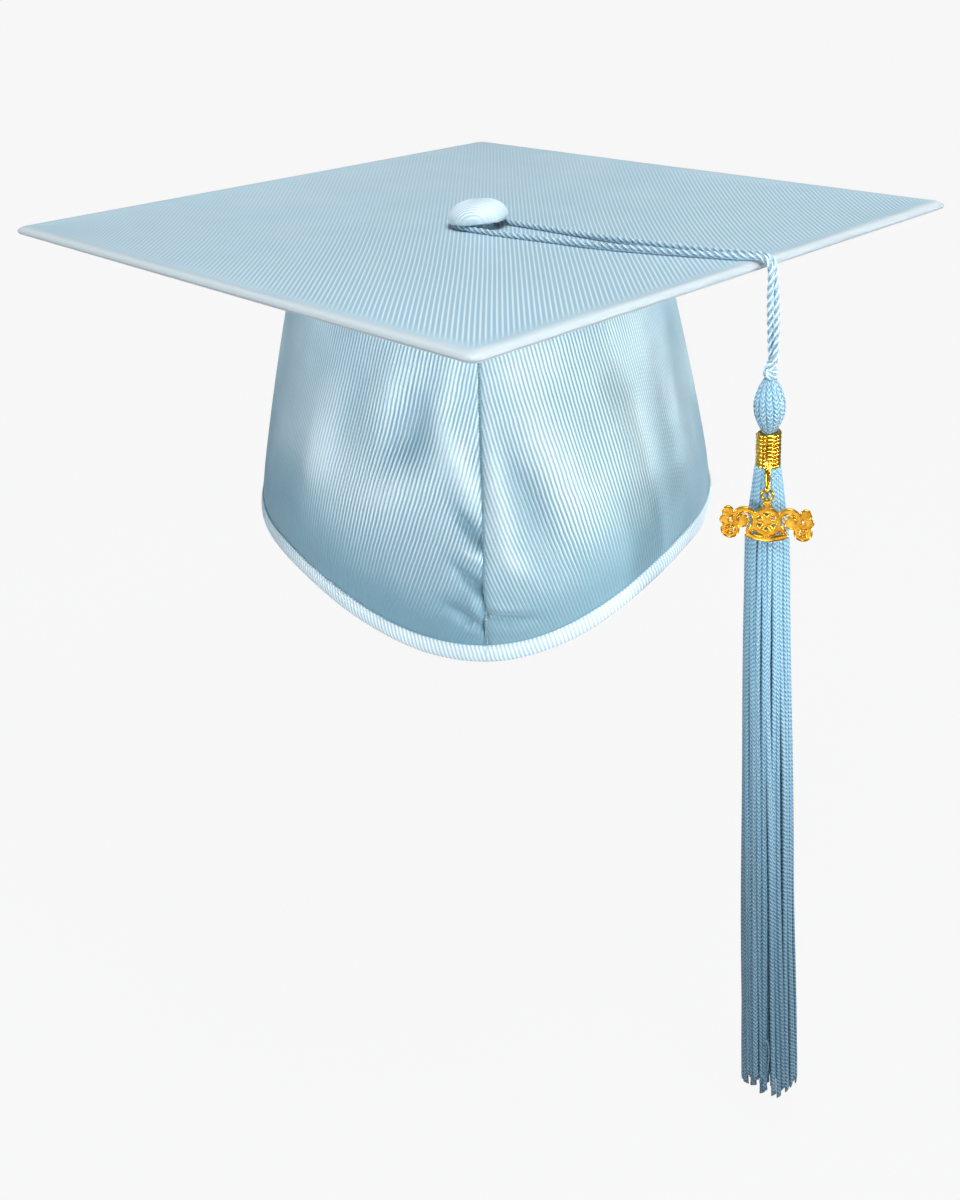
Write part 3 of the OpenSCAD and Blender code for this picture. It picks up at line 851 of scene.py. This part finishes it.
# Folds pulled out of or into the cloth: distance from the front seam, height over the hem,
# lean from upright towards the seam in degrees, half length, half width, and height
LEFT_FOLDS = [(8, 66, -24, 16, 3.6, 2.8), (4.5, 45, -34, 8, 2.2, -3.0), (2.5, 37, -60, 5, 2.2, 2.2),
              (4, 28, -44, 8, 2.0, -2.8), (3, 18, -10, 8, 2.0, 1.2), (5, 15, -56, 8, 2.2, -2.6),
              (22, 72, 28, 15, 6.5, -3.4), (31, 82, 20, 12, 6.5, 1.6), (12, 86, 15, 12, 4.0, 1.6),
              (30, 52, 35, 14, 6.0, 1.7), (46, 66, 18, 20, 7.0, -1.3), (62, 45, 12, 22, 8.0, 1.3)]
RIGHT_FOLDS = [(14, 52, 24, 20, 4.5, -2.4), (24, 60, 22, 24, 5.0, 1.4), (4, 60, 8, 26, 3.5, 1.6),
               (6, 15, 74, 8, 2.0, -2.8), (5, 18, 70, 6, 2.4, 1.2), (38, 58, 18, 22, 6.0, -1.3),
               (55, 62, 12, 26, 7.0, 1.2), (9, 33, 38, 9, 3.0, 1.2), (72, 40, 8, 24, 8.0, -1.1)]
BACK_FOLDS = [(6, 60, 14, 18, 3.0, 0.9), (15, 42, 25, 14, 4.0, -1.0), (5, 22, 40, 8, 2.5, 0.8),
              (32, 58, 18, 20, 6.0, 0.6), (8, 11, 70, 6, 2.5, -0.8)]


def folds(kinds, girth_mm, height_mm):
    """The height of the listed folds at points of the cloth, all in mm."""
    total = np.zeros_like(girth_mm)
    for away, up, lean, length, width, rise in kinds:
        angle = math.radians(lean)
        dw, dh = girth_mm - away, height_mm - up
        along = dh * math.cos(angle) - dw * math.sin(angle)
        side = dh * math.sin(angle) + dw * math.cos(angle)
        total += rise * np.exp(-(along / length) ** 2 - (side / width) ** 2)
    return total


def rib_place(w, h):
    """The rib that passes through a point: ribs lean towards the seams as they rise."""
    near = np.minimum(w, HALF_GIRTH_MM - w)
    c = near
    for _ in range(5):
        lean = 0.50 * np.clip(1 - c / (HALF_GIRTH_MM / 2), 0, 1) ** 1.4
        c = near + lean * h * (1 - 0.2 * h / 110)
    return np.where(w < HALF_GIRTH_MM / 2, c, HALF_GIRTH_MM - c)


def relief(side, a, s):
    """How far the cloth of one half stands out of its smooth shape, in mm."""
    w = girth(a) / MM
    h = (crown_top(a) - hem_height(a)) * (1 - s) / MM
    seam = np.minimum(w, HALF_GIRTH_MM - w)
    out = folds(LEFT_FOLDS if side < 0 else RIGHT_FOLDS, w, h) + folds(BACK_FOLDS, HALF_GIRTH_MM - w, h)
    out += 0.35 * np.sin(w / 15 + 1.3 * side) * np.sin(h / 19 + side) + 0.2 * np.sin(w / 7.3 + h / 23 + side)
    out += 0.10 * np.sin(w / 3.1 + 2 * np.sin(h / 9)) * np.exp(-(h / 9) ** 2)
    out *= np.clip((h - 4) / 7, 0, 1) * np.clip((112 - h) / 12, 0, 1) ** 0.5
    out -= 1.0 * np.exp(-seam / 0.8) + 0.5 * np.exp(-np.clip(h - 6, 0, None) / 2)
    return out, w, h


def room_inside(a, s):
    """How far the layers inside must step back from the cloth's inward folds, in metres."""
    turned = np.where(a <= math.pi, a, TAU - a)
    found = np.where(a <= math.pi, relief(1, turned, s)[0], relief(-1, turned, s)[0])
    return np.clip(-found - 0.1, 0, None) * MM


def panel_name(side):
    return "skull_panel_left" if side < 0 else "skull_panel_right"


def make_panel(side, material, replaced, slot):
    """One half of the skull cap from the front seam to the back seam; side is 1 on the wearer's left.
    Its ribs, with their painted shade and highlight, are strongest in front, round one place on each side."""
    a = np.linspace(SEAM_GAP, math.pi - SEAM_GAP, 420)[None]
    s = np.linspace(0, 1, 130)[:, None] * share_at(a, HEM_H - HEM_LAP)
    a = np.broadcast_to(a, s.shape)
    out, w, h = relief(side, a, s)
    points = crown_point(a, s, out * MM)
    points[..., 0] *= side
    middle, low = (38, 4) if side > 0 else (30, 8)
    strength = 0.38 + 0.67 * np.exp(-((w - middle) / 30) ** 2) * np.clip((h - low) / 30, 0.1, 1)
    faces = grid_faces(*s.shape)
    coords = together(rib_place(w, h) * side, h, strength)
    shape = Shape().add(points, faces if side > 0 else flipped(faces), coords)
    panel = shape.build(panel_name(side), material, "cap", replaced, slot)
    # The folds' relief, kept on the mesh for the painted fold shade and highlight of the cloth
    layer = panel.data.attributes.new("relief", "FLOAT", "POINT")
    layer.data.foreach_set("value", np.clip(out, -3, 3).astype(np.float32).ravel())


def make_seam(name, at_back, material, node, slot):
    """The two panels' edges sewn together, as a narrow ridge with a row of stitches."""
    a = math.pi if at_back else 0.0
    s = np.linspace(0, 1, 230) * share_at(np.array(a), HEM_H - HEM_LAP)
    path = crown_point(np.full(len(s), a), s, -0.00065)
    lengths = path_lengths(path)
    radius = 0.00048 + 0.00006 * np.sin(lengths / 0.0021 * TAU) + 0.00004 * np.sin(lengths / 0.009)
    shape = Shape().add_tube(path, circle_section(radius, 10, len(path)), tube_coords(path, 10, 0.7))
    shape.build(name, material, "cap", [node], slot)


def make_inner_layer(name, side, material, node):
    """One half of the lining, with a few soft creases."""
    a = np.linspace(0.006, math.pi - 0.006, 110)[None]
    s = np.linspace(0.004, 1, 34)[:, None] * share_at(a, LINING_LOW)
    a = np.broadcast_to(a, s.shape)
    w, h = girth(a) / MM, (1 - s) * 110
    crease = 0.16 * np.sin(w / 6.0 + 1.5 * np.sin(h / 14) + side) + 0.12 * np.sin(w / 17 - h / 11)
    step = np.clip(-relief(side, a, s)[0] - 0.1, 0, None)
    points = crown_point(a, s, (-1.62 + crease - step) * MM)
    points[..., 0] *= side
    faces = grid_faces(*s.shape)
    shape = Shape().add(points, faces if side < 0 else flipped(faces), together(w, h, 0.35))
    lining = shape.build(name, material, "cap", [node], "cloth_edge")


def there_and_back(low, high, rows):
    """A column of steps from low to high and down again, for the two faces of a band."""
    return np.concatenate([np.linspace(low, high, rows), np.linspace(high, low, rows)])[:, None]


def band_layer(a, low, high, outer, thick, rows, swell):
    """A closed flat band round the inside of the cap: its outer and inner faces and both edges."""
    over = there_and_back(low, high, rows)
    inset = np.concatenate([np.full(rows, outer), np.full(rows, outer + thick)])[:, None]
    s = share_at(a[None], over)
    a = np.broadcast_to(a[None], s.shape)
    return crown_point(a, s, -(inset + swell + room_inside(a, s)))


def make_sweatband(material, stitch_material):
    """The headband inside the cap, with a row of stitches along its upper edge."""
    columns, rows = 420, 9
    a = turn_of(columns)
    over = there_and_back(0, 1, rows)
    swell = 0.00012 * np.sin(girth(a)[None] / 0.0043 + 2 * np.sin(over * 3)) * np.sin(math.pi * over)
    points = band_layer(a, HEM_H - 0.0002, HEM_H + 0.022, PANEL_T + 0.00018, 0.0007, rows, swell)
    faces = grid_faces(2 * rows, columns, wrap_rows=True, wrap_columns=True)
    shape = Shape().add(points, faces, together(girth(a) / MM, over * 19, 0.4))
    band = shape.build("inner_headband", material, "cap", ["sweatband"], "cloth_edge")
    make_stitches("headband_stitches", stitch_material, HEM_H + 0.0205, PANEL_T + 0.00095, 0.0034)


def make_elastic(material):
    """The elastic at the nape, drawn up into small gathers."""
    columns, rows = 300, 8
    a = np.radians(np.linspace(125, 235, columns))
    over = there_and_back(0, 1, rows)
    gather = 0.00022 * np.sin(girth(a)[None] / 0.0026 * TAU / 2) * (0.4 + 0.6 * np.sin(math.pi * over))
    points = band_layer(a, HEM_H + 0.002, HEM_H + 0.012, PANEL_T + 0.0018, 0.0007, rows, gather)
    faces = grid_faces(2 * rows, columns, wrap_rows=True)
    for column in (0, columns - 1):
        rim = [k * columns + column for k in range(2 * rows)]
        faces.append(rim if column else rim[::-1])
    shape = Shape().add(points, faces, together(girth(a) / MM, over * 10, 0.4))
    band = shape.build("nape_elastic", material, "cap", ["elastic_band"], "elastic")


def make_tip(material):
    """The cloth disc that closes the cap inside, and its stitched rim."""
    rings, sides = 26, 140
    t = np.linspace(0.02, 1.09, rings)[:, None]
    a = turn_of(sides)
    x = (CROWN_TOP - 0.0072) * t * np.sin(a)
    y = -(CROWN_TOP * HEAD_RATIO - 0.0072) * t * np.cos(a)
    pucker = 0.0002 * np.sin(a * 37 + 2 * np.sin(5 * a)) * t ** 4
    pucker = pucker + 0.0002 * np.sin(x / 0.011) * np.sin(y / 0.013)
    z = BOARD_UNDER - 0.0011 - sag(x, y) - 0.0003 * t ** 6 + pucker
    faces = flipped(tube_faces(rings, sides)[:-1])
    shape = Shape().add(together(x, y, z), faces, together(x / MM, y / MM, 0.7))
    tip = shape.build("crown_tip_cloth", material, "cap", ["crown_tip", "crown_flange"], "cloth")


ROLL_RIB = WHOLE_GIRTH / MM / 440


def make_hem(material):
    """The binding rolled over the hem: cross ribs, and a folded edge that stands up as a fine cord."""
    stations, sides = 1400, 36
    a = even_angles(np.arange(stations) / stations)[:, None]
    around = turn_of(sides)
    length = girth(a) / MM
    slant = length + 0.55 * np.sin(around) * 1.6
    rib = np.abs(np.sin(slant * math.pi / ROLL_RIB)) ** 0.7
    outside = np.clip(np.cos(around + 0.25) * 1.6 + 0.5, 0, 1)
    roll = 0.00002 * np.sin(length / 11) + 0.00003 * np.sin(length / 4.7 + 1)
    grow = 0.00013 * (rib - 0.6) * outside + roll
    fold = 0.0006 * np.exp(-((around - 1.1) / 0.2) ** 2) - 0.00022 * np.exp(-((around - 0.66) / 0.14) ** 2)
    wide, high = 0.0017 + grow + fold, ROLL_H / 2 + grow + fold * 0.9
    power = 0.82
    across = wide * np.sign(np.cos(around)) * np.abs(np.cos(around)) ** power
    up = high * np.sign(np.sin(around)) * np.abs(np.sin(around)) ** power
    half = HEM_HALF - 0.0009 + across
    points = together(half * np.sin(a), -(HEM_HALF * HEAD_RATIO - 0.0009 + across) * np.cos(a),
                      hem_height(a) + ROLL_H / 2 + up)
    faces = grid_faces(stations, sides, wrap_rows=True, wrap_columns=True)
    shape = Shape().add(points, faces, together(slant, around * 1.7, 0.9 * outside))
    shape.build("hem_roll", material, "cap", ["hem_binding"], "cloth_edge")


def make_stitches(name, material, over, inset, spacing):
    """A row of sewn stitches round the inside of the cap at one height over the hem."""
    count = int(WHOLE_GIRTH / spacing)
    lift = np.sin(np.linspace(0, math.pi, 7)) * 0.00016
    section = circle_section(0.00021 * np.array([0.5, 0.9, 1, 1, 1, 0.9, 0.5]), 6, 7)
    shape = Shape()
    for k in range(count):
        steps = (k + np.linspace(0.16, 0.84, 7)) / count
        a = even_angles(steps)
        s = share_at(a, over)
        path = crown_point(a, s, -inset - room_inside(a, s) - lift)
        coords = together(steps[:, None] * WHOLE_GIRTH / MM, turn_of(6), 0.5)
        shape.add_tube(path, section, coords)
    shape.build(name, material, "cap", [], "cloth_light")


# ---------- tassel ----------

def strand_section(wide, thick, sides, count):
    """Cross-sections of a flat knitted strand with two soft rows of loops."""
    angle = turn_of(sides)
    wide, thick = (np.broadcast_to(np.reshape(v, (-1, 1)), (count, sides)) for v in (wide, thick))
    dent = 1 - 0.22 * np.exp(-(np.cos(angle) / 0.35) ** 2)
    return together(wide / 2 * np.cos(angle), thick / 2 * np.sin(angle) * dent)


def tassel_tube(shape, local_path, wide, thick, sides, number):
    """A knitted strand of the tassel, whose flat side faces away from the tassel's middle line."""
    path = tassel_place(local_path)
    count = len(path)
    outward = unit((path - DROP) * (1, 1, 0) + 1e-9)
    tangents = unit(np.gradient(path, axis=0))
    across = unit(np.cross(outward, tangents))
    outward = np.cross(tangents, across)
    section = strand_section(wide, thick, sides, count)
    points = path[:, None] + across[:, None] * section[..., :1] + outward[:, None] * section[..., 1:]
    coords = together(path_lengths(path)[:, None] / MM, np.cos(turn_of(sides)), float(number))
    shape.add(points, tube_faces(count, sides), coords)


def skirt_radius(depth):
    """The skirt leaves the coil narrow, fills out at once and then widens slowly."""
    flare = 0.0025 * np.minimum(1, depth / 0.026)
    return 0.0044 + flare + 0.0036 * (depth / SKIRT_LEN) ** 0.75


def make_skirt(material):
    """The tassel's strands in rings, one inside another, with a rough cut lower end."""
    shape = Shape()
    number = 0
    for ring, (share, count, sides) in enumerate(SKIRT_RINGS):
        for k in range(count):
            number += 1
            turn = (k + 0.5 * (ring % 2) + random.uniform(-0.18, 0.18)) / count * TAU
            length = STRAND_LEN + random.uniform(-0.0042, 0.0035)
            depth = np.linspace(0, 1, 110 if ring == 0 else 60) * length
            drift = np.clip(depth / 0.05, 0, 1)
            phase = random.uniform(0, TAU, 4)
            sway = (np.sin(depth / 0.021 + phase[0]) * 0.35 + np.sin(depth / 0.043 + phase[1]) * 0.65) * drift
            bulge = (np.sin(depth / 0.017 + phase[2]) * 0.4 + np.sin(depth / 0.051 + phase[3]) * 0.6) * drift
            place = skirt_radius(depth)
            room = TAU * place * share / count
            wide = np.minimum(room * 1.12, 0.0021)
            thick = np.minimum(wide * 0.85, 0.0013)
            radius = place * share - thick * 0.35 + bulge * 0.00028
            angle = turn + sway * 0.0005 / radius
            aside = SKIRT_LEAN * (depth / SKIRT_LEN) ** 1.3
            path = together(aside + radius * np.cos(angle), radius * np.sin(angle), BAND_LOW + 0.001 - depth)
            fray = np.clip((length - depth) / 0.0012, 0.55, 1)
            tassel_tube(shape, path, wide * (0.94 + 0.06 * bulge) / fray ** 0.3, thick * fray, sides, number)
    make_stray_loop(shape, number + 1)
    shape.build("tassel_strands", material, "tassel", ["tassel_skirt"], "tassel")


def make_stray_loop(shape, number):
    """One thin thread that has worked loose near the lower end."""
    t = np.linspace(0, 1, 40)
    x = 0.0035 + 0.0022 * np.sin(t * math.pi * 1.1)
    y = -0.0098 - 0.0008 * np.sin(t * math.pi)
    z = -0.174 - 0.013 * t + 0.004 * np.sin(t * TAU)
    tassel_tube(shape, together(x, y, z), 0.0006, 0.0005, 6, number)


def make_head(material):
    """The rounded head: strands laid over a core and drawn in at both ends."""
    rings, strands, per = 60, 13, 12
    sides = strands * per
    t = np.linspace(0, 1, rings)[:, None]
    angle = turn_of(sides)
    swell = np.sin(math.pi * np.clip(0.055 + 0.86 * t ** 1.02, 0, 1)) ** 0.82
    within = (angle * strands / TAU) % 1 * 2 - 1
    own = np.floor(angle * strands / TAU)
    length = t * 17.5
    loops = np.sin((length + np.abs(within) * 0.75 * KNIT_PITCH + own * 0.5) / KNIT_PITCH * TAU)
    radius = 0.0009 + 0.0040 * swell
    radius = radius + 0.00032 * (np.sqrt(np.clip(1 - within ** 2, 0, 1)) - 0.7) * swell
    radius = radius + 0.00006 * loops * swell
    turn = angle + 0.25 * t
    top, low = HEAD_TOP + 0.0006, HEAD_LOW - 0.0004
    surface = together(radius * np.cos(turn), radius * np.sin(turn), top - (top - low) * t)
    neck = together(NECK_R * np.cos(angle), NECK_R * np.sin(angle), BAND_LOW + 0.0005)
    points = tassel_place(np.concatenate([surface, neck[None]]))
    coords = together(length, within, own)
    coords = np.concatenate([coords, coords[-1:]])
    shape = Shape().add(points, flipped(tube_faces(rings + 1, sides)), coords)
    shape.build("tassel_head_knit", material, "tassel", ["tassel_head"], "tassel")


def make_wire(name, path, radius, sides, material, node):
    """A round gold wire along a path."""
    shape = Shape().add_tube(path, circle_section(radius, sides, len(path)), tube_coords(path, sides, 0.5))
    shape.build(name, material, "tassel", [node], "gold")


def make_band(material):
    """Gold wire wound round the neck, each turn a little different."""
    t = np.linspace(0, BAND_TURNS, BAND_TURNS * 44 + 1)
    wire = (HEAD_LOW - BAND_LOW) / BAND_TURNS
    uneven = 0.00005 * np.sin(t * 2.1)
    radius = 0.00325 + 0.00003 * np.sin(t * 1.7)
    z = BAND_LOW + wire / 2 + (HEAD_LOW - BAND_LOW - wire) * t / BAND_TURNS + uneven
    path = tassel_place(together(radius * np.cos(t * TAU + 1.2), radius * np.sin(t * TAU + 1.2), z))
    make_wire("gold_coil", path, wire * 0.515, 14, material, "tassel_band")


def make_hanger(material):
    """A gold wire doubled into a long narrow eye, tucked under the coil. Its points are in mm."""
    legs = [(0.45, -3.9, 42.6), (0.52, -4.35, 40.2), (0.5, -4.9, 38.6), (0.42, -6.2, 36.6),
            (0.3, -6.75, 35.2), (0.12, -7.0, 34.2), (0, -7.8, 33.55)]
    other = [(0, -8.6, 34.2), (-0.25, -8.5, 35.3), (-0.42, -7.2, 37.0), (-0.5, -5.6, 38.7),
             (-0.52, -4.55, 40.4), (-0.45, -3.9, 42.6)]
    path = smooth_path(tassel_place(np.array(legs + other) * MM), 0.0003)
    make_wire("hanger_wire", path, 0.00042, 12, material, "charm_hanger")


def make_charm_rim(material):
    """A polished bead along every edge of the charm's front face."""
    node = nodes["charm"]
    facing = turn_z([0, -1, 0], CHARM_TURN)
    front = [p for p in node.data.polygons if np.dot(p.normal, facing) > 0.99]
    at = np.array([v.co for v in node.data.vertices])
    edges = {}
    for p in front:
        corners = [tuple(np.round(at[k] / MICRON).astype(int)) for k in p.vertices]
        for a, b in zip(corners, corners[1:] + corners[:1]):
            edges[(a, b)] = True
    rim = {a: b for a, b in edges if (b, a) not in edges}
    shape = Shape()
    while rim:
        start, following = next(iter(rim.items()))
        loop = [start]
        del rim[start]
        while following != start and following in rim:
            loop.append(following)
            following = rim.pop(following)
        if len(loop) < 8:
            continue
        points = np.array(loop + loop[:1], float) * MICRON
        path = even_path(points, 0.00025) + facing * 0.00005
        shape.add_tube(path, circle_section(0.00028, 8, len(path)), np.zeros(3), ends=False)
    shape.build("charm_rim", material, "charm", [], "gold")


# ---------- everything, cords first ----------

make_camera()

CORD_LOOK = yarn("twisted_cord", (0.05, 0.18, 0.32), (0.74, 0.89, 0.96))
KNIT_LOOK = chainette("knitted_strands", (0.07, 0.22, 0.35), (0.38, 0.59, 0.72))
SKIRT_LOOK = chainette("skirt_strands", (0.07, 0.25, 0.40), (0.42, 0.69, 0.86))

cord, cord_path = make_cord(CORD_LOOK)
knot = make_knot(CORD_LOOK)

# Painted highlight: greyer colours for the smooth cloth beside the board's edge, and for the edge itself,
# standing for the light glancing off the rounded edge
PAINTED_EDGE_LIGHT = ((0.46, 0.54, 0.58), (0.34, 0.40, 0.43))
BOARD_LOOK = ribbed_cloth("board_cloth", (0.30, 0.50, 0.62), (0.68, 0.85, 0.93), pitch=RIB_PITCH,
                          depth=0.00006, wander=0, sharp=2.4, cloud=0.25, edge=PAINTED_EDGE_LIGHT)
UNDER_LOOK = ribbed_cloth("board_cloth_under", (0.30, 0.49, 0.60), (0.50, 0.69, 0.79), pitch=RIB_PITCH,
                          edge=PAINTED_EDGE_LIGHT)
# Two copies of one cloth: the right half's is given lighter valleys as painted light, the left half's is the
# shaded copy; both are painted darker towards the hem as painted shade
SHADED_LEFT_LOOK = ribbed_cloth("skull_cloth_left_shaded", (0.15, 0.31, 0.40), (0.66, 0.83, 0.91), depth=0.00024,
                         sharp=1.2, cloud=0.7, painted_hem_shade=1.05)
LIT_RIGHT_LOOK = ribbed_cloth("skull_cloth_right_lit", (0.18, 0.34, 0.42), (0.70, 0.83, 0.89), depth=0.00032,
                          sharp=1.2, cloud=0.7, painted_hem_shade=1.05)
EDGE_LOOK = ribbed_cloth("edge_cloth", (0.36, 0.54, 0.64), (0.82, 0.91, 0.95), pitch=ROLL_RIB, depth=0.00008)
BUTTON_LOOK = ribbed_cloth("button_cloth", (0.34, 0.48, 0.56), (0.68, 0.78, 0.83), pitch=0.9, depth=0.00008)
LINING_LOOK = ribbed_cloth("lining_cloth", (0.36, 0.55, 0.65), (0.52, 0.70, 0.79), pitch=0.8, depth=0.00005)
THREAD_LOOK = thread()
GOLD_POLISHED = gold("polished_gold", 0.17)
GOLD_GRAINED = gold("grained_gold", 0.32, 1.0)
STEEL_LOOK = brushed_steel()

make_board_cover("board_cover_over", 1, BOARD_LOOK, "board_cover_top", 1650, "cloth")
make_board_cover("board_cover_under", -1, UNDER_LOOK, "board_cover_bottom", 400, "cloth_edge")
make_button(BUTTON_LOOK, UNDER_LOOK)
make_hem(EDGE_LOOK)
make_tip(UNDER_LOOK)
make_panel(-1, SHADED_LEFT_LOOK, ["crown_panel_left"], "cloth")
make_panel(1, LIT_RIGHT_LOOK, ["crown_panel_right"], "cloth_light")
make_seam("seam_front", False, LIT_RIGHT_LOOK, "front_seam", "cloth_light")
make_seam("seam_back", True, SHADED_LEFT_LOOK, "back_seam", "cloth")
make_inner_layer("lining_cloth_left", -1, LINING_LOOK, "lining_left")
make_inner_layer("lining_cloth_right", 1, LINING_LOOK, "lining_right")
make_sweatband(EDGE_LOOK, THREAD_LOOK)
make_elastic(elastic_webbing())
make_skirt(SKIRT_LOOK)
make_head(KNIT_LOOK)
make_band(GOLD_POLISHED)
make_hanger(GOLD_POLISHED)
make_charm_rim(GOLD_POLISHED)


def dress(names, material):
    """Gives CAD nodes that stay in view, or stay inside, their finished material."""
    for name in names:
        nodes[name].data.materials.clear()
        nodes[name].data.materials.append(material)


dress(["board_core"], greyboard())
dress(["button_shell", "button_back_plate", "button_rivet", "button_washer"], STEEL_LOOK)
dress(["charm"], GOLD_GRAINED)
dress(["charm_ring"], GOLD_POLISHED)

make_studio()
